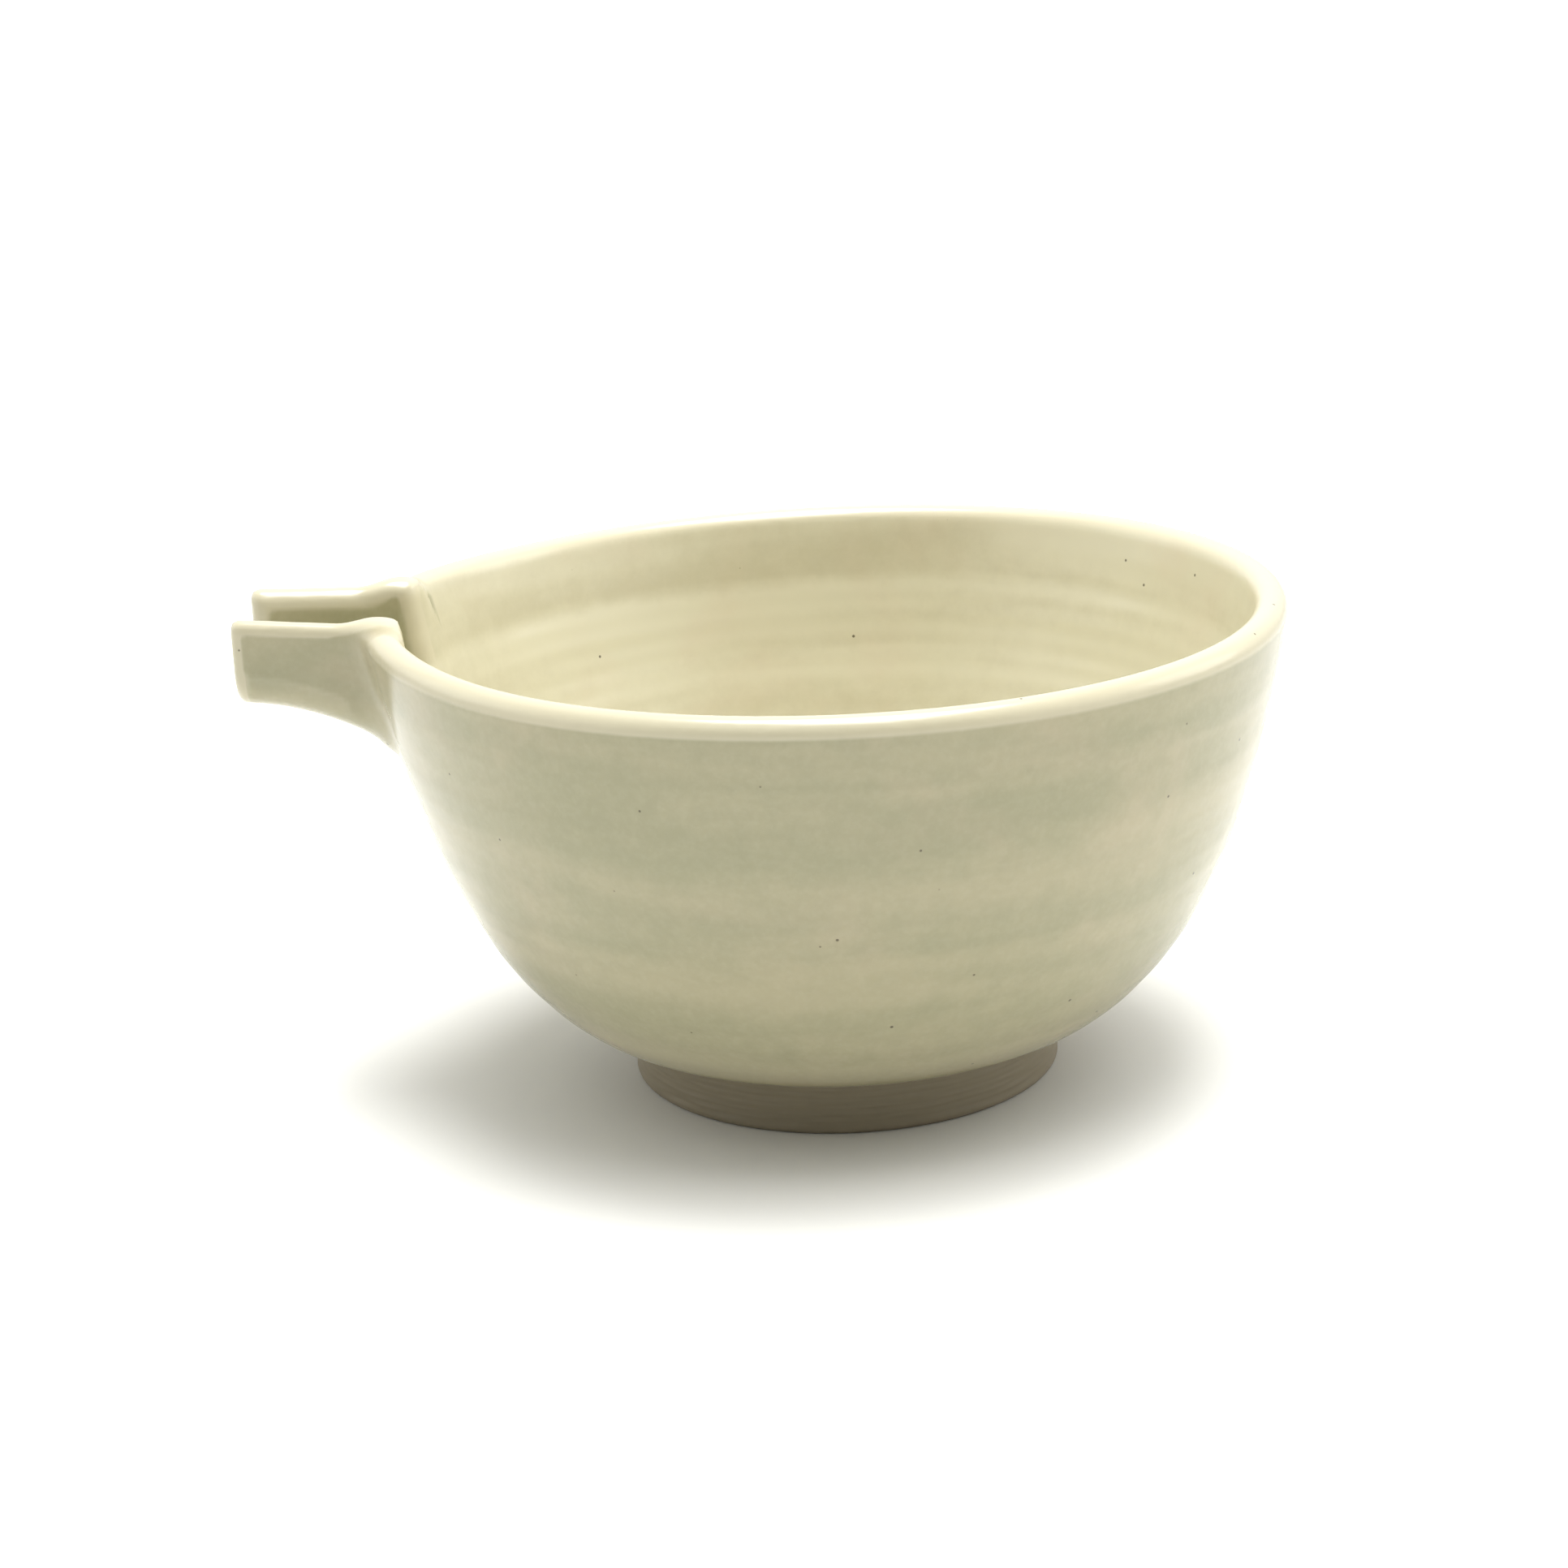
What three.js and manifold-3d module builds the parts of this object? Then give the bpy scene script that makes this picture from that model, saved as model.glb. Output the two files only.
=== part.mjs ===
// Spouted pouring bowl in glazed stoneware: thrown bowl, turned foot ring, slab-built open spout.
// Millimetres, +Z up. The spout points to -X, and the foot stands on z = 0.
import * as THREE from "three";
import { mergeVertices } from "three/addons/utils/BufferGeometryUtils.js";
import Module from "manifold-3d";

const wasm = await Module();
wasm.setup();

// Overall sizes
const HEIGHT = 68.2; // table to the top of the lip
const MOUTH_RADIUS = 63.4; // outside of the lip
const FOOT_RADIUS = 30.5; // outside of the foot ring
const FOOT_HEIGHT = 7.6; // table to the underside of the bowl

// Walls of the bowl
const LIP_THICKNESS = 4.5;
const BASE_THICKNESS = 6.5; // wall above the foot ring, where the clay is left thickest

// Handles of the belly curve, which runs from the foot ring to the lip
const BELLY_RUN_OUT = 21.3;
const BELLY_LIFT = 3.6;
const SHOULDER_DROP = 22.2;
const SHOULDER_LEAN = 3.4;

// Foot ring
const FOOT_RING_WIDTH = 5.6;
const FOOT_EDGE_ROUND = 0.8; // worn corners that stand on the table
const FOOT_INNER_LEAN = 0.8; // the inner wall narrows upwards by this much

// Spout, an open channel
const SPOUT_REACH = 18.9; // from the lip's outside to the tip
const SPOUT_SET_IN = 1.5; // the channel's sizes at the root hold this far inside the lip's outside
const SPOUT_ROOT_WIDTH = 25.6;
const SPOUT_TIP_WIDTH = 20.8;
const SPOUT_ROOT_DEPTH = 16; // lip level to the underside, at the wall
const SPOUT_TIP_DEPTH = 10.2;
const CHEEK_RISE_ROOT = 0.8; // the cheeks stand this far above the lip
const CHEEK_RISE_TIP = 2.6;
const CHEEK_THICKNESS = 3.6;
const CHANNEL_FLOOR_THICKNESS = 3.8;
const SPOUT_CORNER_RADIUS = 5.4; // outside, between cheek and underside
const TIP_ROUND = 0.9; // the pouring edge is drawn in by this much

// Coil of clay pressed into the corner between spout and wall
const SEAM_COIL_RADIUS = 2.2;
const SEAM_STAND_OFF = 0.7; // coil centre from the wall and from the spout

// Gap between pieces that are cut by their neighbour
const CLEARANCE = 0.3;

// Facets
const TURNS = 60; // steps round the bowl
const BELLY_STEPS = 9;
const LIP_STEPS = 6;
const DISH_STEPS = 2;
const CORNER_STEPS = 4;
const SPOUT_STATIONS = 6;
const COIL_SIDES = 10;
const COIL_STEPS = 26;

// Places worked out from the sizes
const lipRadius = LIP_THICKNESS / 2;
const lipLevel = HEIGHT - lipRadius;
const footInnerRadius = FOOT_RADIUS - FOOT_RING_WIDTH;
const tipX = -(MOUTH_RADIUS + SPOUT_REACH);
const rootX = -(MOUTH_RADIUS - SPOUT_SET_IN);
const insideX = -(MOUTH_RADIUS - 4 * LIP_THICKNESS);
const middleX = (tipX + MOUTH_RADIUS) / 2;
const aboveAll = HEIGHT + CHEEK_RISE_TIP + LIP_THICKNESS;

const belly = new THREE.CubicBezierCurve(
  new THREE.Vector2(FOOT_RADIUS, FOOT_HEIGHT),
  new THREE.Vector2(FOOT_RADIUS + BELLY_RUN_OUT, FOOT_HEIGHT + BELLY_LIFT),
  new THREE.Vector2(MOUTH_RADIUS - SHOULDER_LEAN, lipLevel - SHOULDER_DROP),
  new THREE.Vector2(MOUTH_RADIUS, lipLevel),
);

// A point of the belly curve moved square to it, outwards for a positive distance.
function bellyPoint(t, outwards) {
  const along = belly.getTangent(t);
  const normal = new THREE.Vector2(along.y, -along.x);
  return belly.getPoint(t).addScaledVector(normal, outwards);
}

function wallThickness(t) {
  return THREE.MathUtils.lerp(BASE_THICKNESS, LIP_THICKNESS, t);
}

// The radius of the wall's outside at a height.
function outsideRadius(z) {
  let low = 0;
  let high = 1;
  for (let i = 0; i < 30; i++) {
    const middle = (low + high) / 2;
    if (belly.getPoint(middle).y < z) low = middle;
    else high = middle;
  }
  return belly.getPoint(low).x;
}

// Solids from closed meshes, and meshes from solids
function solidFrom(geometry) {
  geometry.deleteAttribute("normal");
  geometry.deleteAttribute("uv");
  const merged = mergeVertices(geometry, 1e-4);
  const index = merged.index.array;
  const triangles = [];
  for (let i = 0; i < index.length; i += 3) {
    const [a, b, c] = index.slice(i, i + 3);
    if (a !== b && b !== c && c !== a) triangles.push(a, b, c);
  }
  const vertProperties = merged.attributes.position.array;
  const triVerts = new Uint32Array(triangles);
  return new wasm.Manifold(new wasm.Mesh({ numProp: 3, vertProperties, triVerts }));
}

function meshFrom(solid, name, material) {
  const result = solid.getMesh();
  const geometry = new THREE.BufferGeometry();
  geometry.setAttribute("position", new THREE.BufferAttribute(result.vertProperties, 3));
  geometry.setIndex(new THREE.BufferAttribute(result.triVerts, 1));
  geometry.computeVertexNormals();
  const mesh = new THREE.Mesh(geometry, material);
  mesh.name = name;
  return mesh;
}

function revolve(profile) {
  return solidFrom(new THREE.LatheGeometry(profile, TURNS).rotateX(Math.PI / 2));
}

// A solid through rings of equal point count, from the first ring to the last.
// Each ring turns anticlockwise when seen against +X.
function loft(rings) {
  const count = rings[0].length;
  const positions = rings.flat().flatMap((p) => [p.x, p.y, p.z]);
  const index = [];
  for (let k = 0; k + 1 < rings.length; k++) {
    for (let i = 0; i < count; i++) {
      const a = k * count + i;
      const b = k * count + ((i + 1) % count);
      index.push(a, b, b + count, a, b + count, a + count);
    }
  }
  const outline = rings[0].map((p) => new THREE.Vector2(p.y, p.z));
  const last = (rings.length - 1) * count;
  for (const [a, b, c] of THREE.ShapeUtils.triangulateShape(outline, [])) {
    index.push(a, c, b);
    index.push(last + a, last + b, last + c);
  }
  const geometry = new THREE.BufferGeometry();
  geometry.setAttribute("position", new THREE.Float32BufferAttribute(positions, 3));
  geometry.setIndex(index);
  return solidFrom(geometry);
}

// The thrown bowl, still without its notch
function thrownBowl() {
  const profile = [new THREE.Vector2(0, FOOT_HEIGHT)];
  for (let i = 0; i <= BELLY_STEPS; i++) profile.push(bellyPoint(i / BELLY_STEPS, 0));
  for (let i = 1; i < LIP_STEPS; i++) {
    const turn = (Math.PI * i) / LIP_STEPS;
    const x = MOUTH_RADIUS - lipRadius + lipRadius * Math.cos(turn);
    profile.push(new THREE.Vector2(x, lipLevel + lipRadius * Math.sin(turn)));
  }
  for (let i = BELLY_STEPS; i >= 0; i--) {
    const t = i / BELLY_STEPS;
    profile.push(bellyPoint(t, -wallThickness(t)));
  }
  const edge = bellyPoint(0, -wallThickness(0));
  const along = belly.getTangent(0);
  const slope = along.y / along.x;
  for (let i = DISH_STEPS - 1; i >= 0; i--) {
    const radius = (edge.x * i) / DISH_STEPS;
    const sink = (slope * (edge.x ** 2 - radius ** 2)) / (2 * edge.x);
    profile.push(new THREE.Vector2(radius, edge.y - sink));
  }
  return revolve(profile);
}

// Everything inside the bowl's outside, grown by a gap: what trims the spout and the seam
function bowlSpace(gap) {
  const profile = [new THREE.Vector2(0, FOOT_HEIGHT - gap)];
  for (let i = 0; i <= BELLY_STEPS; i++) profile.push(bellyPoint(i / BELLY_STEPS, gap));
  profile.push(new THREE.Vector2(MOUTH_RADIUS + gap, aboveAll));
  profile.push(new THREE.Vector2(0, aboveAll));
  return revolve(profile);
}

// The channel's sizes at a place along the spout
function spoutAt(x) {
  const u = THREE.MathUtils.clamp((rootX - x) / (rootX - tipX), 0, 1);
  const sweep = 1 - (1 - u) ** 2;
  return {
    halfWidth: THREE.MathUtils.lerp(SPOUT_ROOT_WIDTH, SPOUT_TIP_WIDTH, u) / 2,
    underside: HEIGHT - THREE.MathUtils.lerp(SPOUT_ROOT_DEPTH, SPOUT_TIP_DEPTH, sweep),
    top: HEIGHT + THREE.MathUtils.lerp(CHEEK_RISE_ROOT, CHEEK_RISE_TIP, u),
  };
}

// Points of a round corner from one angle to another
function corner(x, y, z, radius, from, to) {
  const points = [];
  for (let i = 0; i <= CORNER_STEPS; i++) {
    const turn = THREE.MathUtils.lerp(from, to, i / CORNER_STEPS);
    points.push(new THREE.Vector3(x, y + radius * Math.cos(turn), z + radius * Math.sin(turn)));
  }
  return points;
}

// The underside of a U from its -Y side to its +Y side
function bowlOfU(x, halfWidth, bottom, radius) {
  return [
    ...corner(x, radius - halfWidth, bottom + radius, radius, Math.PI, 1.5 * Math.PI),
    ...corner(x, halfWidth - radius, bottom + radius, radius, 1.5 * Math.PI, 2 * Math.PI),
  ];
}

// The closed outline of the U at a station, drawn in all round by inset
function channelRing(x, inset) {
  const { halfWidth, underside, top } = spoutAt(x);
  const half = CHEEK_THICKNESS / 2 - inset;
  const middle = halfWidth - CHEEK_THICKNESS / 2;
  const innerHalf = halfWidth - CHEEK_THICKNESS + inset;
  const innerRadius = SPOUT_CORNER_RADIUS - CHEEK_THICKNESS + inset;
  const topCentre = top - CHEEK_THICKNESS / 2;
  const floor = underside + CHANNEL_FLOOR_THICKNESS - inset;
  return [
    ...bowlOfU(x, halfWidth - inset, underside + inset, SPOUT_CORNER_RADIUS - inset),
    ...corner(x, middle, topCentre, half, 0, Math.PI),
    ...bowlOfU(x, innerHalf, floor, innerRadius).reverse(),
    ...corner(x, -middle, topCentre, half, 0, Math.PI),
  ];
}

// The spout's outside with its channel filled, grown by a gap
function spoutSpace(gap) {
  return loft(
    [tipX - gap, ...stations(rootX), insideX].map((x) => {
      const { halfWidth, underside } = spoutAt(x);
      const outer = bowlOfU(x, halfWidth + gap, underside - gap, SPOUT_CORNER_RADIUS + gap);
      const last = outer.at(-1);
      return [
        ...outer,
        new THREE.Vector3(x, last.y, aboveAll),
        new THREE.Vector3(x, -last.y, aboveAll),
      ];
    }),
  );
}

// The hollow of the channel, run on into the bowl: what cuts the notch in the wall
function channelSpace() {
  return loft(
    [tipX, insideX].map((x) => {
      const { halfWidth, underside } = spoutAt(rootX);
      const floor = underside + CHANNEL_FLOOR_THICKNESS;
      const innerRadius = SPOUT_CORNER_RADIUS - CHEEK_THICKNESS;
      const hollow = bowlOfU(x, halfWidth - CHEEK_THICKNESS, floor, innerRadius);
      const last = hollow.at(-1);
      return [
        ...hollow,
        new THREE.Vector3(x, last.y, aboveAll),
        new THREE.Vector3(x, -last.y, aboveAll),
      ];
    }),
  );
}

function stations(end) {
  const places = [];
  for (let i = 1; i <= SPOUT_STATIONS; i++) {
    places.push(THREE.MathUtils.lerp(tipX, end, i / SPOUT_STATIONS));
  }
  return places;
}

function spoutChannel() {
  const rings = [
    channelRing(tipX, TIP_ROUND),
    channelRing(tipX + TIP_ROUND / 3, TIP_ROUND / 3),
    channelRing(tipX + TIP_ROUND, 0),
    ...stations(rootX).map((x) => channelRing(x, 0)),
    channelRing(insideX, 0),
  ];
  return loft(rings).subtract(bowlSpace(CLEARANCE));
}

// The corner line between spout and wall, down the -Y cheek, under the channel and up the other
function seamLine() {
  const { halfWidth, underside } = spoutAt(rootX);
  const half = halfWidth + SEAM_STAND_OFF;
  const bottom = underside - SEAM_STAND_OFF;
  const radius = SPOUT_CORNER_RADIUS + SEAM_STAND_OFF;
  const high = lipLevel - SEAM_COIL_RADIUS;
  const section = [
    new THREE.Vector3(0, -half, high),
    new THREE.Vector3(0, -half, (high + bottom + radius) / 2),
    ...bowlOfU(0, half, bottom, radius),
    new THREE.Vector3(0, half, (high + bottom + radius) / 2),
    new THREE.Vector3(0, half, high),
  ];
  const points = section.map((p) => {
    const radiusHere = outsideRadius(p.z) + SEAM_STAND_OFF;
    return new THREE.Vector3(-Math.sqrt(radiusHere ** 2 - p.y ** 2), p.y, p.z);
  });
  return new THREE.CatmullRomCurve3(points, false, "centripetal");
}

function seamCoil() {
  const round = new THREE.Shape();
  for (let i = 0; i < COIL_SIDES; i++) {
    const turn = (2 * Math.PI * i) / COIL_SIDES;
    const x = SEAM_COIL_RADIUS * Math.cos(turn);
    const y = SEAM_COIL_RADIUS * Math.sin(turn);
    if (i) round.lineTo(x, y);
    else round.moveTo(x, y);
  }
  const coil = new THREE.ExtrudeGeometry(round, { steps: COIL_STEPS, extrudePath: seamLine() });
  return solidFrom(coil).subtract(bowlSpace(CLEARANCE)).subtract(spoutSpace(CLEARANCE));
}

function footRing() {
  const round = FOOT_EDGE_ROUND;
  const profile = [
    new THREE.Vector2(footInnerRadius + round, 0),
    new THREE.Vector2(FOOT_RADIUS - round, 0),
    new THREE.Vector2(FOOT_RADIUS - 0.3 * round, 0.3 * round),
    new THREE.Vector2(FOOT_RADIUS, round),
    new THREE.Vector2(FOOT_RADIUS, FOOT_HEIGHT),
    new THREE.Vector2(footInnerRadius - FOOT_INNER_LEAN, FOOT_HEIGHT),
    new THREE.Vector2(footInnerRadius, round),
    new THREE.Vector2(footInnerRadius + 0.3 * round, 0.3 * round),
    new THREE.Vector2(footInnerRadius + round, 0),
  ];
  return revolve(profile);
}

// Finishes
const bowlGlaze = new THREE.MeshStandardMaterial({ color: 0xb9b7a0, roughness: 0.28, metalness: 0 });
const spoutGlaze = new THREE.MeshStandardMaterial({ color: 0xb2b098, roughness: 0.28, metalness: 0 });
const seamGlaze = new THREE.MeshStandardMaterial({ color: 0xa9a78c, roughness: 0.25, metalness: 0 });
const bareClay = new THREE.MeshStandardMaterial({ color: 0x7d7460, roughness: 0.85, metalness: 0 });

// The pieces, with the middle of the whole object's length over the origin
const pot = new THREE.Group();
pot.add(meshFrom(thrownBowl().subtract(channelSpace()), "bowl_body", bowlGlaze));
pot.add(meshFrom(spoutChannel(), "spout", spoutGlaze));
pot.add(meshFrom(seamCoil(), "spout_seam", seamGlaze));
pot.add(meshFrom(footRing(), "foot_ring", bareClay));
pot.position.x = -middleX;

const spoutedBowl = new THREE.Group();
spoutedBowl.add(pot);

export default spoutedBowl;
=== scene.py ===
"""Looks of a glazed stoneware pouring bowl: a glazed skin over bowl, spout and seam, and a bare foot"""
from math import cos, pi, radians, sin, tan

import bpy
import numpy as np
from bpy.props import FloatProperty, FloatVectorProperty, IntProperty, PointerProperty
from mathutils import Matrix, Vector


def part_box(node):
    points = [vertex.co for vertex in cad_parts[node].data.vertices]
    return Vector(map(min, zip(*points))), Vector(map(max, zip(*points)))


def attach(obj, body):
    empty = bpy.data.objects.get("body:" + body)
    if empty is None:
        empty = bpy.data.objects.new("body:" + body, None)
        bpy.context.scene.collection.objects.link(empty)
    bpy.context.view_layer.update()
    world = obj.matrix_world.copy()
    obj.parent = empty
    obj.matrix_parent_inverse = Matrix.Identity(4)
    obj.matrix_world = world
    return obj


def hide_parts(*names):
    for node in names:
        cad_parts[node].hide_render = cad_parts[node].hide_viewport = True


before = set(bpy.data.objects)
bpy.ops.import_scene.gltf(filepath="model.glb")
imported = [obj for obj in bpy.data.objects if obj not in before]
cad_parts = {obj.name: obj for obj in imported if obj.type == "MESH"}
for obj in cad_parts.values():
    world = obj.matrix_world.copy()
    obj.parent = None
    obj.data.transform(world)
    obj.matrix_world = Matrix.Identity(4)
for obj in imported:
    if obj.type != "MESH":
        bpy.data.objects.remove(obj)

bl_info = {
    "name": "Glazed Pouring Bowl",
    "version": (1, 0, 0),
    "blender": (4, 5, 0),
    "location": "View3D > Sidebar > Pottery",
    "description": "Builds the glazed skin and the bare foot of a spouted bowl around its solid pieces",
    "category": "Add Mesh",
}

# Places of the solid pieces, in metres
BOWL_LOW, BOWL_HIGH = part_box("bowl_body")
SPOUT_LOW, SPOUT_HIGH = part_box("spout")
FOOT_LOW, FOOT_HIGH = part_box("foot_ring")
AXIS_X = (FOOT_LOW.x + FOOT_HIGH.x) / 2
MILLIMETRE = 0.001


class BowlSizes(bpy.types.PropertyGroup):
    """Sizes of the thrown bowl"""

    height: FloatProperty(
        name="Height", description="Table to the top of the lip",
        default=BOWL_HIGH.z, unit="LENGTH")
    mouth_radius: FloatProperty(
        name="Mouth Radius", description="Outside of the lip",
        default=BOWL_HIGH.y, unit="LENGTH")
    foot_height: FloatProperty(
        name="Foot Height", description="Table to the underside of the bowl",
        default=BOWL_LOW.z, unit="LENGTH")
    foot_radius: FloatProperty(
        name="Foot Radius", description="Outside of the foot ring",
        default=FOOT_HIGH.y, unit="LENGTH")
    lip_thickness: FloatProperty(
        name="Lip Thickness", description="Wall at the lip",
        default=0.0045, unit="LENGTH")
    base_thickness: FloatProperty(
        name="Base Thickness", description="Wall above the foot ring",
        default=0.0065, unit="LENGTH")
    belly_run_out: FloatProperty(
        name="Belly Run Out", description="How far the underside reaches out before it turns up",
        default=0.0213, unit="LENGTH")
    belly_lift: FloatProperty(
        name="Belly Lift", description="Rise of the underside over that reach",
        default=0.0036, unit="LENGTH")
    shoulder_drop: FloatProperty(
        name="Shoulder Drop", description="How far below the lip the wall starts to turn in",
        default=0.0222, unit="LENGTH")
    shoulder_lean: FloatProperty(
        name="Shoulder Lean", description="How far the wall leans out over that drop",
        default=0.0034, unit="LENGTH")
    ring_depth: FloatProperty(
        name="Throwing Ring Depth", description="Height of the finger marks left on the wall",
        default=0.00007, unit="LENGTH")
    pull_out: FloatProperty(
        name="Pull Out", description="How far the lip is drawn out towards the spout",
        default=0.0016, unit="LENGTH")
    pull_up: FloatProperty(
        name="Pull Up", description="How far the lip rises beside the spout",
        default=0.0018, unit="LENGTH")
    pull_angle: FloatProperty(
        name="Pull Angle", description="Half of the stretch of lip that the spout draws with it",
        default=radians(30), subtype="ANGLE")
    foot_ring_width: FloatProperty(
        name="Foot Ring Width", description="Width of the ring that the bowl stands on",
        default=0.0056, unit="LENGTH")
    mesh_step: FloatProperty(
        name="Mesh Step", description="Size of the skin's facets",
        default=0.0007, unit="LENGTH")


class SpoutSizes(bpy.types.PropertyGroup):
    """Sizes of the open spout"""

    tip_x: FloatProperty(
        name="Tip", description="Where the spout ends, along X from the bowl's axis",
        default=SPOUT_LOW.x - AXIS_X, unit="LENGTH")
    root_width: FloatProperty(
        name="Root Width", description="Outside width at the wall",
        default=SPOUT_HIGH.y * 2, unit="LENGTH")
    tip_width: FloatProperty(
        name="Tip Width", description="Outside width at the tip",
        default=0.0208, unit="LENGTH")
    root_depth: FloatProperty(
        name="Root Depth", description="Lip level to the underside, at the wall",
        default=BOWL_HIGH.z - SPOUT_LOW.z, unit="LENGTH")
    tip_depth: FloatProperty(
        name="Tip Depth", description="Lip level to the underside, at the tip",
        default=0.0102, unit="LENGTH")
    rise_root: FloatProperty(
        name="Rise at Root", description="How far the cheeks stand above the lip at the wall",
        default=0.0015, unit="LENGTH")
    rise_tip: FloatProperty(
        name="Rise at Tip", description="How far the cheeks stand above the lip at the tip",
        default=SPOUT_HIGH.z - BOWL_HIGH.z, unit="LENGTH")
    cheek: FloatProperty(
        name="Cheek Thickness", description="Thickness of the spout's two sides",
        default=0.0036, unit="LENGTH")
    floor: FloatProperty(
        name="Floor Thickness", description="Thickness of the channel's floor",
        default=0.0038, unit="LENGTH")
    corner: FloatProperty(
        name="Corner Radius", description="Outside round between cheek and underside",
        default=0.0054, unit="LENGTH")
    seam_round: FloatProperty(
        name="Seam Round", description="How softly the spout flows into the wall",
        default=0.0042, unit="LENGTH")
    edge_round: FloatProperty(
        name="Edge Round", description="How soft the channel's edges are",
        default=0.0026, unit="LENGTH")


class GlazeColours(bpy.types.PropertyGroup):
    """Colours of glaze and clay"""

    # Darker than the inside: partly a greener glaze, partly painted shade on the outer wall
    outside_glaze_and_shade: FloatVectorProperty(
        name="Outside", description="Ash glaze on the outside",
        default=(0.435, 0.395, 0.25), size=3, subtype="COLOR")
    outside_green: FloatVectorProperty(
        name="Outside Green", description="Where the glaze lies thicker on the outside",
        default=(0.345, 0.33, 0.20), size=3, subtype="COLOR")
    # Pooled glaze in the seam's corner, made darker than the glaze as painted shade in the hollows
    pool: FloatVectorProperty(
        name="Pool", description="Glaze that has run into the corner of the seam",
        default=(0.27, 0.27, 0.165), size=3, subtype="COLOR")
    inside: FloatVectorProperty(
        name="Inside", description="Straw cream of the inside",
        default=(0.63, 0.595, 0.43), size=3, subtype="COLOR")
    blush: FloatVectorProperty(
        name="Blush", description="Warm pink flashing",
        default=(0.60, 0.48, 0.34), size=3, subtype="COLOR")
    thin: FloatVectorProperty(
        name="Thin Edge", description="Thin glaze on the lip and the edges",
        default=(0.64, 0.59, 0.43), size=3, subtype="COLOR")
    iron: FloatVectorProperty(
        name="Iron Speck", description="Specks of iron that burn through the glaze",
        default=(0.045, 0.028, 0.015), size=3, subtype="COLOR")
    clay: FloatVectorProperty(
        name="Bare Clay", description="Unglazed foot",
        default=(0.76, 0.66, 0.32), size=3, subtype="COLOR")
    clay_pale: FloatVectorProperty(
        name="Pale Clay", description="Dry, lighter parts of the bare foot",
        default=(0.86, 0.76, 0.42), size=3, subtype="COLOR")


class StageSettings(bpy.types.PropertyGroup):
    """Camera and light"""

    view_distance: FloatProperty(
        name="View Distance", description="Camera to the middle of the bowl",
        default=0.4897, unit="LENGTH")
    view_height: FloatProperty(
        name="View Height", description="Point on the axis that the camera circles",
        default=0.030, unit="LENGTH")
    elevation: FloatProperty(
        name="Elevation", description="How far the camera looks down",
        default=radians(21.39), subtype="ANGLE")
    turn: FloatProperty(
        name="Turn", description="Aim to the side",
        default=radians(-0.895), subtype="ANGLE")
    tilt: FloatProperty(
        name="Tilt", description="Aim upwards",
        default=radians(1.29), subtype="ANGLE")
    roll: FloatProperty(
        name="Roll", description="Roll about the line of sight",
        default=radians(-2.6), subtype="ANGLE")
    lens: FloatProperty(
        name="Lens", description="Focal length on a 36 mm sensor", default=77.0)
    floor_size: IntProperty(
        name="Floor Size", description="Width of the floor in metres", default=12)


# Smooth shape arithmetic on signed distances

def blend_min(a, b, soft):
    """Union of two shapes with a fillet about as wide as soft"""
    near = np.maximum(soft - np.abs(a - b), 0) / soft
    return np.minimum(a, b) - near * near * soft / 4


def blend_max(a, b, soft):
    """Overlap of two shapes with a rounded edge about as wide as soft"""
    return -blend_min(-a, -b, soft)


def bezier(p0, p1, p2, p3, t):
    """Points of a cubic curve, and its direction"""
    t = t[:, None]
    s = 1 - t
    point = s ** 3 * p0 + 3 * s * s * t * p1 + 3 * s * t * t * p2 + t ** 3 * p3
    along = s * s * (p1 - p0) + 2 * s * t * (p2 - p1) + t * t * (p3 - p2)
    return point, along / np.linalg.norm(along, axis=1)[:, None]


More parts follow.
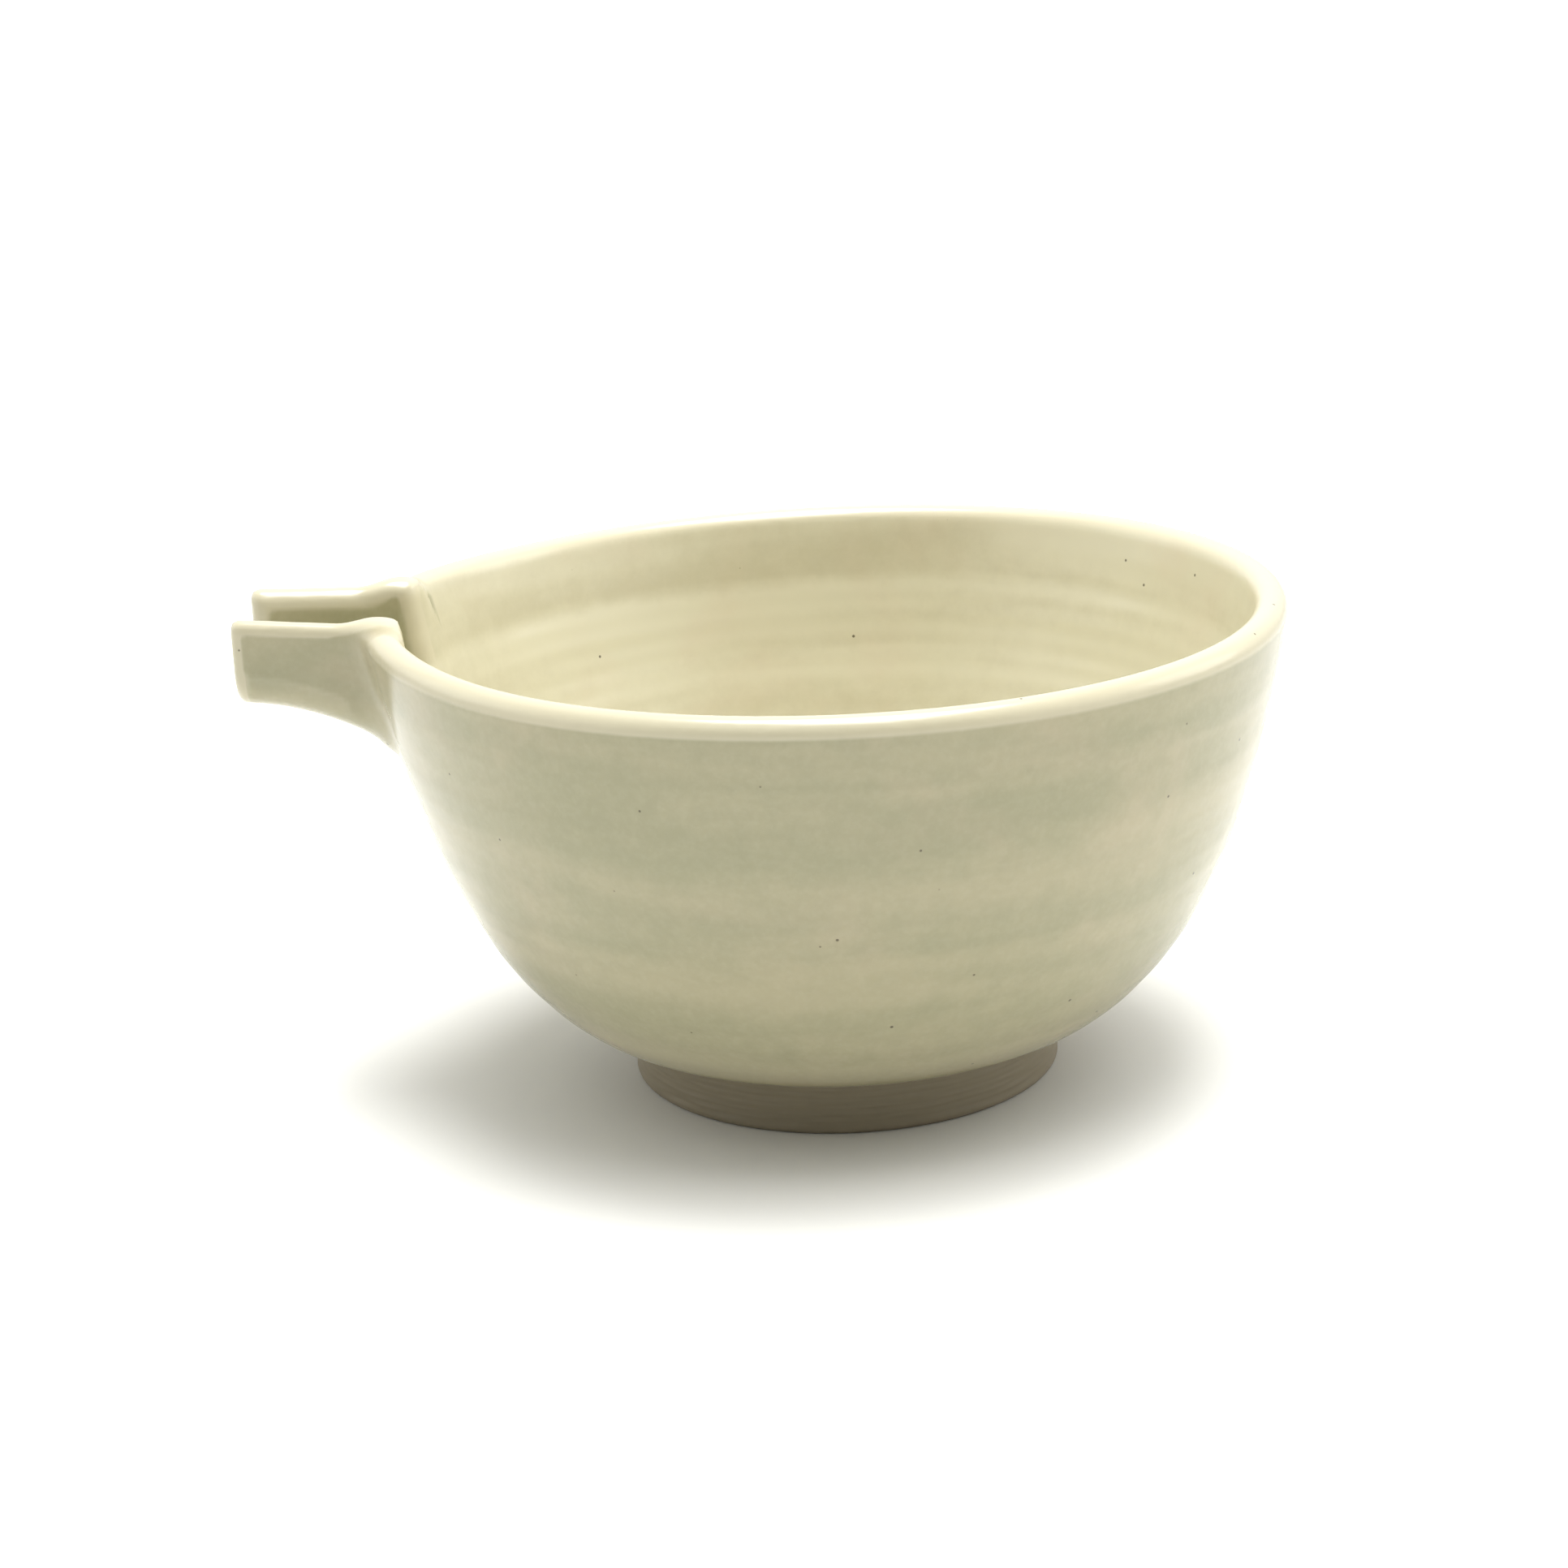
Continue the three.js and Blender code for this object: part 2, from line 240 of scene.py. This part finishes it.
class Profile:
    """The bowl's section, radius by height, as a table of signed distances"""

    cell = 0.25 * MILLIMETRE
    curve_points = 160
    arc_points = 24
    swell_length = 11.2 * MILLIMETRE
    finger_length = 3.7 * MILLIMETRE

    def __init__(self, sizes):
        lip = sizes.lip_thickness / 2
        lip_level = sizes.height - lip
        t = np.linspace(0, 1, self.curve_points)
        start = np.array([sizes.foot_radius, sizes.foot_height])
        end = np.array([sizes.mouth_radius, lip_level])
        low = start + [sizes.belly_run_out, sizes.belly_lift]
        high = end - [sizes.shoulder_lean, sizes.shoulder_drop]
        belly, along = bezier(start, low, high, end, t)
        out = np.stack([along[:, 1], -along[:, 0]], 1)
        fade = np.clip(t * 8, 0, 1) * np.clip((1 - t) * 7, 0, 1)
        thickness = sizes.base_thickness + (sizes.lip_thickness - sizes.base_thickness) * t
        self.outer = belly + out * (fade * self.rings(belly[:, 1], sizes.ring_depth, 0.3))[:, None]
        self.inner = belly - out * thickness[:, None]
        self.inner += out * (fade * self.rings(belly[:, 1], 0.8 * sizes.ring_depth, 2.1))[:, None]
        turn = np.linspace(0, pi, self.arc_points)[1:-1]
        lip_centre = [sizes.mouth_radius - lip, lip_level]
        lip_arc = np.stack([np.cos(turn), np.sin(turn)], 1) * lip + lip_centre
        radius = np.linspace(self.inner[0, 0], 0, self.arc_points)[1:]
        slope = along[0, 1] / along[0, 0]
        sink = slope * (self.inner[0, 0] ** 2 - radius ** 2) / (2 * self.inner[0, 0])
        dish = np.stack([radius, self.inner[0, 1] - sink], 1)
        base = np.array([[0, sizes.foot_height]])
        self.tabulate(np.concatenate([self.outer, lip_arc, self.inner[::-1], dish, base]), sizes)

    def rings(self, z, depth, phase):
        """Throwing rings: a slow swell with finer finger lines on it"""
        slow = np.sin(2 * pi * z / self.swell_length + phase + 1.5 * np.sin(z / 0.011))
        fine = np.sin(2 * pi * z / self.finger_length + 2 * phase + 2 * np.sin(z / 0.007))
        return depth * (0.75 * slow + 0.3 * fine)

    def tabulate(self, outline, sizes):
        self.nr = int((sizes.mouth_radius + 0.02) / self.cell) + 2
        self.nz = int((sizes.height + 0.012) / self.cell) + 2
        r, z = np.meshgrid(
            np.arange(self.nr) * self.cell, np.arange(self.nz) * self.cell, indexing="ij")
        best = np.full(r.shape, 1.0)
        inside = np.zeros(r.shape, bool)
        for (ar, az), (br, bz) in zip(outline, np.roll(outline, -1, 0)):
            dr, dz = br - ar, bz - az
            long = dr * dr + dz * dz
            if long == 0:
                continue
            if not (ar == 0 and br == 0):
                s = np.clip(((r - ar) * dr + (z - az) * dz) / long, 0, 1)
                gap = (r - ar - s * dr) ** 2 + (z - az - s * dz) ** 2
                best = np.minimum(best, gap)
            if az != bz:
                crosses = (az > z) != (bz > z)
                inside ^= crosses & (r < ar + (z - az) * dr / dz)
        self.table = np.where(inside, -1, 1) * np.sqrt(best)

    def distance(self, r, z):
        """Signed distance to the bowl, negative inside the clay"""
        a = np.clip(r / self.cell, 0, self.nr - 1.001)
        b = np.clip(z / self.cell, 0, self.nz - 1.001)
        i, j = a.astype(int), b.astype(int)
        a, b = a - i, b - j
        t = self.table
        low = t[i, j] * (1 - a) + t[i + 1, j] * a
        high = t[i, j + 1] * (1 - a) + t[i + 1, j + 1] * a
        return low * (1 - b) + high * b


class Vessel:
    """The whole glazed shape as one signed distance: bowl, spout and the seam between them"""

    set_in = 1.5 * MILLIMETRE
    overlap = 2.2 * MILLIMETRE
    cheek_top_round = 1.6 * MILLIMETRE
    tip_round = 1.4 * MILLIMETRE
    channel_corner_extra = 0.6 * MILLIMETRE
    channel_run_in = 16 * MILLIMETRE

    def __init__(self, bowl, spout):
        self.bowl, self.spout = bowl, spout
        self.profile = Profile(bowl)
        self.root_x = -(bowl.mouth_radius - self.set_in)

    def lip_sway(self, angle):
        """The lip isn't quite level or round"""
        return 0.22 * MILLIMETRE * np.sin(2 * angle + 0.6) + 0.14 * MILLIMETRE * np.sin(3 * angle)

    def lip_pull(self, angle):
        """Share by which the wall is drawn out and up towards the spout"""
        from_spout = pi - np.abs(angle)
        return np.exp(-(from_spout / self.bowl.pull_angle) ** 2)

    def spout_at(self, x):
        s = self.spout
        u = np.clip((self.root_x - x) / (self.root_x - s.tip_x), 0, 1)
        half = (s.root_width + (s.tip_width - s.root_width) * u) / 2
        sweep = 1 - (1 - u) ** 2
        under = self.bowl.height - s.root_depth + (s.root_depth - s.tip_depth) * sweep
        top = self.bowl.height + s.rise_root + (s.rise_tip - s.rise_root) * u
        return half, under, top

    @staticmethod
    def trough(y, z, half, low, radius):
        """A U open at the top, as wide as twice half"""
        side = np.abs(y) - half + radius
        down = low + radius - z
        corner = np.hypot(np.maximum(side, 0), np.maximum(down, 0))
        return corner + np.minimum(np.maximum(side, down), 0) - radius

    def distance(self, p):
        x, y, z = p[..., 0], p[..., 1], p[..., 2]
        s = self.spout
        height_share = np.clip(z / self.bowl.height, 0, 1) ** 3
        angle = np.arctan2(y, x)
        sway = self.lip_sway(angle) * height_share
        pull = self.lip_pull(angle) * height_share
        radius = np.hypot(x, y) - sway - pull * self.bowl.pull_out
        clay = self.profile.distance(radius, z - 0.6 * sway - pull * self.bowl.pull_up)
        half, under, top = self.spout_at(x)
        outer = self.trough(y, z, half, under, s.corner)
        outer = blend_max(outer, z - top, self.cheek_top_round)
        outer = blend_max(outer, s.tip_x - x, self.tip_round)
        outer = np.maximum(outer, x - self.root_x - self.overlap)
        clay = blend_min(clay, outer, s.seam_round)
        corner = s.corner - s.cheek + self.channel_corner_extra
        hollow = self.trough(y, z, half - s.cheek, under + s.floor, corner)
        hollow = np.maximum(hollow, x + self.bowl.mouth_radius - self.channel_run_in)
        return blend_max(clay, -hollow, s.edge_round)

    def slope(self, p, step):
        """Direction in which the distance grows"""
        grown = []
        for axis in range(3):
            move = np.zeros(3)
            move[axis] = step
            grown.append(self.distance(p + move) - self.distance(p - move))
        return np.stack(grown, -1) / (2 * step)

    def bend(self, p, step):
        """How strongly the surface curves: positive on edges, negative in hollows"""
        total = -6 * self.distance(p)
        for axis in range(3):
            move = np.zeros(3)
            move[axis] = step
            total += self.distance(p + move) + self.distance(p - move)
        return total / (step * step)


def surface_net(vessel, low, high, step):
    """A closed quad mesh on the zero level of a distance, one vertex in each cell that it crosses"""
    count = np.ceil((high - low) / step).astype(int) + 1
    axes = [low[k] + step * np.arange(count[k]) for k in range(3)]
    field = np.empty(count)
    for i, x in enumerate(axes[0]):
        y, z = np.meshgrid(axes[1], axes[2], indexing="ij")
        field[i] = vessel.distance(np.stack([np.full(y.shape, x), y, z], -1))
    solid = field < 0
    corners = np.array([[i, j, k] for i in (0, 1) for j in (0, 1) for k in (0, 1)])
    filled = np.zeros(count - 1, int)
    for i, j, k in corners:
        filled += solid[i:count[0] - 1 + i, j:count[1] - 1 + j, k:count[2] - 1 + k]
    active = (filled > 0) & (filled < 8)
    number = np.full(active.shape, -1)
    number[active] = np.arange(active.sum())
    cells = np.argwhere(active)
    total = np.zeros((len(cells), 3))
    hits = np.zeros(len(cells))
    for a in corners:
        for axis in range(3):
            if a[axis]:
                continue
            b = a.copy()
            b[axis] = 1
            fa = field[tuple((cells + a).T)]
            fb = field[tuple((cells + b).T)]
            cross = (fa < 0) != (fb < 0)
            share = fa[cross] / (fa[cross] - fb[cross])
            total[cross] += a + share[:, None] * (b - a)
            hits[cross] += 1
    points = low + step * (cells + total / hits[:, None])
    faces = []
    for axis in range(3):
        one, two = [k for k in range(3) if k != axis]
        first = np.take(solid, range(count[axis] - 1), axis)
        second = np.take(solid, range(1, count[axis]), axis)
        edges = np.argwhere(first != second)
        leaving = first[tuple(edges.T)]
        back_one, back_two = np.zeros(3, int), np.zeros(3, int)
        back_one[one] = back_two[two] = 1
        ring = [edges, edges - back_one, edges - back_one - back_two, edges - back_two]
        quad = np.stack([number[tuple(c.T)] for c in ring], 1)
        turned = leaving == (axis == 1)
        quad[turned] = quad[turned][:, ::-1]
        faces.append(quad)
    return points, np.concatenate(faces)


def settle(vessel, points, step):
    """Moves the points onto the surface"""
    for _ in range(4):
        slope = vessel.slope(points, 0.15 * MILLIMETRE)
        size = np.maximum((slope ** 2).sum(1), 0.2)
        move = (vessel.distance(points) / size)[:, None] * slope
        points = points - np.clip(move, -step / 2, step / 2)
    return points


def new_object(name, points, faces, materials):
    mesh = bpy.data.meshes.new(name)
    mesh.from_pydata((points + [AXIS_X, 0, 0]).tolist(), [], faces.tolist())
    mesh.update()
    mesh.polygons.foreach_set("use_smooth", [True] * len(mesh.polygons))
    for material in materials:
        mesh.materials.append(material)
    piece = bpy.data.objects.new(name, mesh)
    bpy.context.scene.collection.objects.link(piece)
    return piece


def add_float(mesh, name, values):
    """Stores a number for each vertex, for the materials to read"""
    attribute = mesh.attributes.new(name, "FLOAT", "POINT")
    attribute.data.foreach_set("value", values.astype(np.float32))


class Nodes:
    """Short calls for building a material's nodes"""

    def __init__(self, name):
        self.material = bpy.data.materials.new(name)
        self.material.use_nodes = True
        self.tree = self.material.node_tree
        self.shader = self.tree.nodes["Principled BSDF"]

    def add(self, kind, **settings):
        node = self.tree.nodes.new("ShaderNode" + kind)
        for key, value in settings.items():
            setattr(node, key, value)
        return node

    def link(self, source, target):
        self.tree.links.new(source, target)

    def place(self, scale=(1, 1, 1)):
        """Object coordinates, stretched"""
        mapping = self.add("Mapping")
        mapping.inputs["Scale"].default_value = scale
        self.link(self.add("TexCoord").outputs["Object"], mapping.inputs["Vector"])
        return mapping.outputs["Vector"]

    def noise(self, scale, detail=4.0, rough=0.55, stretch=(1, 1, 1), warp=0.0):
        node = self.add("TexNoise")
        node.inputs["Scale"].default_value = scale
        node.inputs["Detail"].default_value = detail
        node.inputs["Roughness"].default_value = rough
        node.inputs["Distortion"].default_value = warp
        self.link(self.place(stretch), node.inputs["Vector"])
        return node.outputs["Fac"]

    def span(self, value, low, high, to_low=0.0, to_high=1.0):
        """Maps a range of a value to another, softly and clamped"""
        node = self.add("MapRange", interpolation_type="SMOOTHSTEP")
        for key, number in (("From Min", low), ("From Max", high), ("To Min", to_low), ("To Max", to_high)):
            node.inputs[key].default_value = number
        self.link(value, node.inputs["Value"])
        return node.outputs["Result"]

    def math(self, operation, a, b):
        node = self.add("Math", operation=operation)
        for slot, value in zip(node.inputs, (a, b)):
            if isinstance(value, (int, float)):
                slot.default_value = value
            else:
                self.link(value, slot)
        return node.outputs["Value"]

    def mix(self, share, a, b):
        """Colour a where share is 0, b where it is 1"""
        node = self.add("Mix", data_type="RGBA")
        self.link(share, node.inputs["Factor"])
        for key, value in (("A", a), ("B", b)):
            slot = [s for s in node.inputs if s.name == key and s.type == "RGBA"][0]
            if hasattr(value, "links"):
                self.link(value, slot)
            else:
                slot.default_value = (*value, 1)
        return [s for s in node.outputs if s.type == "RGBA"][0]

    def attribute(self, name):
        return self.add("Attribute", attribute_name=name).outputs["Fac"]

    def specks(self, scale, size, share):
        """Sparse round dots: a cell shows one where its random number is under share"""
        node = self.add("TexVoronoi")
        node.inputs["Scale"].default_value = scale
        self.link(self.place(), node.inputs["Vector"])
        dot = self.span(node.outputs["Distance"], size, 0.55 * size)
        picked = self.add("SeparateColor")
        self.link(node.outputs["Color"], picked.inputs["Color"])
        chosen = self.math("LESS_THAN", picked.outputs["Red"], share)
        return self.math("MULTIPLY", dot, chosen)

    def bump(self, height, distance, strength=1.0):
        node = self.add("Bump")
        node.inputs["Distance"].default_value = distance
        node.inputs["Strength"].default_value = strength
        self.link(height, node.inputs["Height"])
        self.link(node.outputs["Normal"], self.shader.inputs["Normal"])


def ash_glaze(colours):
    """Satin-gloss ash glaze: greenish where it pools, with painted shade darkening the hollows, cream where
    it is thin, with iron specks
    """
    n = Nodes("ash_glaze")
    # Patterns: soft bands around the pot, clouds, and fine grain
    band = n.noise(95, 3, 0.5, (0.12, 0.12, 1.0), 0.3)
    cloud = n.noise(38, 4, 0.6, (1, 1, 1), 0.4)
    grain = n.noise(900, 3, 0.6)
    mottle = n.noise(260, 5, 0.65)
    thick = n.math("ADD", n.math("MULTIPLY", band, 0.78), n.math("MULTIPLY", mottle, 0.22))
    # The outside colour carries painted shade as well as its greener glaze
    outside_glaze_and_shade = n.mix(n.span(thick, 0.36, 0.64), colours.outside_glaze_and_shade, colours.outside_green)
    outside_glaze_and_shade = n.mix(n.span(cloud, 0.5, 0.8, 0, 0.28), outside_glaze_and_shade, colours.blush)
    inside = n.mix(n.span(thick, 0.4, 0.68, 0, 0.55), colours.inside, colours.outside_glaze_and_shade)
    inside = n.mix(n.span(cloud, 0.45, 0.8, 0, 0.3), inside, colours.blush)
    colour = n.mix(n.attribute("inside"), outside_glaze_and_shade, inside)
    # Thin and pale on edges; in hollows pooled glaze, darkened further as painted shade
    bend = n.attribute("bend")
    colour = n.mix(n.span(bend, 130, 420, 0, 0.75), colour, colours.thin)
    colour = n.mix(n.span(bend, -110, -380, 0, 0.85), colour, colours.pool)
    colour = n.mix(n.span(grain, 0.35, 0.75, 0, 0.08), colour, colours.thin)
    # Iron specks of two sizes
    small = n.specks(460, 0.13, 0.045)
    large = n.specks(170, 0.075, 0.05)
    dots = n.math("MAXIMUM", small, large)
    colour = n.mix(n.math("MULTIPLY", dots, 0.8), colour, colours.iron)
    n.link(colour, n.shader.inputs["Base Color"])
    n.link(n.span(mottle, 0.3, 0.7, 0.2, 0.25), n.shader.inputs["Roughness"])
    n.shader.inputs["Specular IOR Level"].default_value = 0.5
    n.shader.inputs["Coat Weight"].default_value = 0.25
    n.shader.inputs["Coat Roughness"].default_value = 0.12
    height = n.math("ADD", n.math("MULTIPLY", mottle, 0.12), n.math("MULTIPLY", grain, 0.05))
    n.bump(n.math("SUBTRACT", height, n.math("MULTIPLY", dots, 0.3)), 0.00012, 0.22)
    return n.material


def bare_clay(colours):
    """Matte fired stoneware with turning lines and a few dark grains"""
    n = Nodes("bare_clay")
    cloud = n.noise(60, 4, 0.6)
    lines = n.noise(700, 2, 0.5, (0.05, 0.05, 1.0))
    grain = n.noise(1500, 3, 0.7)
    colour = n.mix(n.span(cloud, 0.35, 0.7), colours.clay, colours.clay_pale)
    colour = n.mix(n.span(grain, 0.55, 0.8, 0, 0.35), colour, colours.clay_pale)
    dots = n.specks(520, 0.2, 0.06)
    colour = n.mix(n.math("MULTIPLY", dots, 0.7), colour, colours.iron)
    n.link(colour, n.shader.inputs["Base Color"])
    n.shader.inputs["Roughness"].default_value = 0.88
    n.shader.inputs["Specular IOR Level"].default_value = 0.3
    height = n.math("ADD", n.math("MULTIPLY", lines, 0.6), n.math("MULTIPLY", grain, 0.5))
    n.bump(height, 0.00025, 0.8)
    return n.material


def finished(name, maker):
    """A material made once and shared"""
    return bpy.data.materials.get(name) or maker(bpy.context.scene.bowl_colours)


class POTTERY_OT_glazed_skin(bpy.types.Operator):
    """Bowl, spout and seam under one unbroken coat of glaze"""

    bl_idname = "pottery.glazed_skin"
    bl_label = "Glazed Skin"
    bend_reach = 0.9 * MILLIMETRE
    roof_margin = 0.4 * MILLIMETRE

    def execute(self, context):
        sizes = context.scene.bowl_sizes
        spout = context.scene.spout_sizes
        vessel = Vessel(sizes, spout)
        step = sizes.mesh_step
        margin = 3 * step
        low = np.array([spout.tip_x, -sizes.mouth_radius, sizes.foot_height]) - margin
        top = sizes.height + spout.rise_tip
        high = np.array([sizes.mouth_radius, sizes.mouth_radius, top]) + margin
        points, faces = surface_net(vessel, low, high, step)
        points = settle(vessel, points, step)
        glaze = finished("ash_glaze", ash_glaze)
        clay = finished("bare_clay", bare_clay)
        piece = new_object("glazed_bowl", points, faces, [glaze, clay])
        mesh = piece.data
        r, z = np.hypot(points[:, 0], points[:, 1]), points[:, 2]
        outer = np.interp(z, vessel.profile.outer[:, 1], vessel.profile.outer[:, 0])
        behind_wall, fade = 1.2 * MILLIMETRE, 2 * MILLIMETRE
        depth = np.clip((outer - r - behind_wall) / fade, 0, 1)
        add_float(mesh, "inside", depth)
        add_float(mesh, "bend", vessel.bend(points, self.bend_reach))
        middle = points[faces].mean(1)
        ring_inside = sizes.foot_radius - 0.5 * sizes.foot_ring_width
        under = middle[:, 2] < sizes.foot_height + self.roof_margin
        under &= np.hypot(middle[:, 0], middle[:, 1]) < ring_inside
        mesh.polygons.foreach_set("material_index", under.astype(int))
        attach(piece, "root")
        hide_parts("bowl_body", "spout", "spout_seam")
        return {"FINISHED"}


class POTTERY_OT_bare_foot(bpy.types.Operator):
    """The turned foot ring, left unglazed"""

    bl_idname = "pottery.bare_foot"
    bl_label = "Bare Foot"

    def execute(self, context):
        sizes = context.scene.bowl_sizes
        outer, height = sizes.foot_radius, sizes.foot_height
        inner = outer - sizes.foot_ring_width
        edge = 0.8 * MILLIMETRE
        bulge = 0.15 * MILLIMETRE
        waver = 0.09 * MILLIMETRE
        line_depth = 0.05 * MILLIMETRE
        line_spacing = 0.9 * MILLIMETRE
        turns, waves, seed = 300, 25, 7
        bottom = [(inner + edge, 0), (outer - edge, 0)]
        turn = np.linspace(-pi / 2, 0, 7)[1:]
        corner = [(outer - edge + edge * cos(a), edge + edge * sin(a)) for a in turn]
        rise = np.linspace(edge, height, 22)[1:]
        side = [(outer - bulge * sin(pi * z / height), z) for z in rise]
        back = [(inner - edge * z / height, z) for z in rise[::-1]]
        inner_corner = [(inner + edge - edge * cos(a), edge + edge * sin(a)) for a in turn[::-1]]
        profile = np.array(bottom + corner + side + back + inner_corner)
        count = len(profile)
        angle = 2 * pi * np.arange(turns) / turns
        rough = np.random.default_rng(seed).normal(0, 1, (turns, count))
        spectrum = np.fft.rfft(rough, axis=0)
        spectrum[waves:] = 0
        rough = np.fft.irfft(spectrum, turns, axis=0) * waver
        lines = line_depth * np.sin(2 * pi * profile[:, 1] / line_spacing)
        radius = profile[:, 0] + (rough + lines) * (profile[:, 1] > edge)
        radius = np.minimum(radius, outer)
        shape = (turns, count)
        points = np.stack([
            np.cos(angle)[:, None] * radius,
            np.sin(angle)[:, None] * radius,
            np.broadcast_to(profile[:, 1], shape),
        ], -1).reshape(-1, 3)
        a = np.arange(turns)[:, None] * count
        b = (np.arange(turns)[:, None] + 1) % turns * count
        i = np.arange(count)[None]
        j = (i + 1) % count
        faces = np.stack([a + i, b + i, b + j, a + j], -1).reshape(-1, 4)
        piece = new_object("bare_foot", points, faces, [finished("bare_clay", bare_clay)])
        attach(piece, "root")
        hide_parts("foot_ring")
        return {"FINISHED"}


class POTTERY_OT_stage(bpy.types.Operator):
    """Pale floor, soft light and the camera"""

    bl_idname = "pottery.stage"
    bl_label = "Stage"
    light_aim = Vector((0, 0, 0.03))
    # Name, place, width in metres and power in watts
    soft_boxes = (
        ("top_box", (0.05, 0.1, 0.95), 0.6, 9),
        ("left_box", (-1.0, 0.25, 0.5), 0.7, 0.8),
        ("right_box", (1.05, 0.25, 0.55), 0.7, 2.0),
        ("lip_box", (0.1, -0.24, 0.92), 0.35, 2.2),
    )
    # Axis, where the light starts and ends to grow along it, and its strength at both ends
    world_ramps = (
        ("Y", -0.5, 0.4, 0.1, 1.0),
        ("Z", 0.55, 1.0, 0.1, 1.25),
        ("X", 0.5, 0.95, 0.1, 1.3),
        ("X", -0.5, -0.95, 0.1, 1.2),
    )

    def execute(self, context):
        settings = context.scene.bowl_stage
        self.floor(settings.floor_size / 2)
        self.world(context)
        for name, place, size, power in self.soft_boxes:
            self.soft_box(name, place, size, power)
        self.camera(context, settings)
        return {"FINISHED"}

    def floor(self, half):
        corners = np.array([[-half, -half, 0], [half, -half, 0], [half, half, 0], [-half, half, 0]])
        n = Nodes("pale_floor")
        n.shader.inputs["Base Color"].default_value = (0.8, 0.8, 0.77, 1)
        n.shader.inputs["Roughness"].default_value = 0.7
        n.shader.inputs["Specular IOR Level"].default_value = 0.2
        # For camera rays the floor glows: away from the bowl the paper burns out to white, and just beside
        # the bowl a weaker glow is painted light that lightens the bowl's cast shadow
        away = n.add("VectorMath", operation="LENGTH")
        n.link(n.place(), away.inputs[0])
        seen = n.add("LightPath").outputs["Is Camera Ray"]
        # Painted light: a glow beside the bowl that lightens its cast shadow
        near = n.span(away.outputs["Value"], 0.036, 0.095, 0, 0.5)
        white_out_and_shadow_lift = n.math("MAXIMUM", n.span(away.outputs["Value"], 0.3, 1.0), near)
        white_out_and_shadow_lift = n.math("MULTIPLY", white_out_and_shadow_lift, seen)
        n.link(white_out_and_shadow_lift, n.shader.inputs["Emission Strength"])
        n.shader.inputs["Emission Color"].default_value = (1, 1, 1, 1)
        new_object("floor", corners, np.array([[0, 1, 2, 3]]), [n.material])

    def world(self, context):
        world = bpy.data.worlds.new("light_tent")
        world.use_nodes = True
        tree = world.node_tree
        background = tree.nodes["Background"]
        background.inputs["Color"].default_value = (1, 1, 0.985, 1)
        places = tree.nodes.new("ShaderNodeTexCoord")
        parts = tree.nodes.new("ShaderNodeSeparateXYZ")
        tree.links.new(places.outputs["Generated"], parts.inputs["Vector"])
        light = tree.nodes.new("ShaderNodeLightPath").outputs["Is Camera Ray"]
        # Dim in front of the bowl, bright behind it, at both sides and overhead
        for axis, low, high, dim, bright in self.world_ramps:
            shade = tree.nodes.new("ShaderNodeMapRange")
            for key, number in (("From Min", low), ("From Max", high), ("To Min", dim), ("To Max", bright)):
                shade.inputs[key].default_value = number
            tree.links.new(parts.outputs[axis], shade.inputs["Value"])
            brightest = tree.nodes.new("ShaderNodeMath")
            brightest.operation = "MAXIMUM"
            tree.links.new(shade.outputs["Result"], brightest.inputs[0])
            tree.links.new(light, brightest.inputs[1])
            light = brightest.outputs["Value"]
        tree.links.new(light, background.inputs["Strength"])
        context.scene.world = world
        context.scene.view_settings.view_transform = "Standard"

    def soft_box(self, name, place, size, power):
        light = bpy.data.lights.new(name, "AREA")
        light.shape = "DISK"
        light.size = size
        light.energy = power
        lamp = bpy.data.objects.new(name, light)
        lamp.location = place
        aim = self.light_aim - Vector(place)
        lamp.rotation_euler = aim.to_track_quat("-Z", "Y").to_euler()
        bpy.context.scene.collection.objects.link(lamp)

    def camera(self, context, s):
        middle = Vector((AXIS_X, 0, s.view_height))
        place = Vector((AXIS_X, -s.view_distance * cos(s.elevation), s.view_distance * sin(s.elevation)))
        up = Vector((0, 0, 1))
        sight = (middle - place).normalized()
        side = sight.cross(up).normalized()
        above = side.cross(sight)
        aim = (sight + tan(s.turn) * side + tan(s.tilt) * above).normalized()
        side = aim.cross(up).normalized()
        above = side.cross(aim)
        right = cos(s.roll) * side + sin(s.roll) * above
        top = -sin(s.roll) * side + cos(s.roll) * above
        camera = bpy.data.objects.new("camera", bpy.data.cameras.new("camera"))
        camera.data.lens = s.lens
        camera.data.sensor_width = 36
        camera.data.clip_start = 0.02
        camera.data.clip_end = 60
        turned = Matrix((right, top, -aim)).transposed().to_4x4()
        camera.matrix_world = Matrix.Translation(place) @ turned
        context.scene.collection.objects.link(camera)
        context.scene.camera = camera


class POTTERY_PT_bowl(bpy.types.Panel):
    """Sidebar panel with the bowl's steps"""

    bl_label = "Pouring Bowl"
    bl_space_type = "VIEW_3D"
    bl_region_type = "UI"
    bl_category = "Pottery"

    def draw(self, context):
        for operator in OPERATORS:
            self.layout.operator(operator.bl_idname)


OPERATORS = (POTTERY_OT_glazed_skin, POTTERY_OT_bare_foot, POTTERY_OT_stage)
GROUPS = {
    "bowl_sizes": BowlSizes,
    "spout_sizes": SpoutSizes,
    "bowl_colours": GlazeColours,
    "bowl_stage": StageSettings,
}


def register():
    for item in (*GROUPS.values(), *OPERATORS, POTTERY_PT_bowl):
        bpy.utils.register_class(item)
    for name, group in GROUPS.items():
        setattr(bpy.types.Scene, name, PointerProperty(type=group))


def unregister():
    for name in GROUPS:
        delattr(bpy.types.Scene, name)
    for item in (POTTERY_PT_bowl, *OPERATORS, *GROUPS.values()):
        bpy.utils.unregister_class(item)


def main():
    register()
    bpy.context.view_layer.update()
    bpy.ops.pottery.stage()
    bpy.ops.pottery.glazed_skin()
    bpy.ops.pottery.bare_foot()


if __name__ == "__main__":
    main()
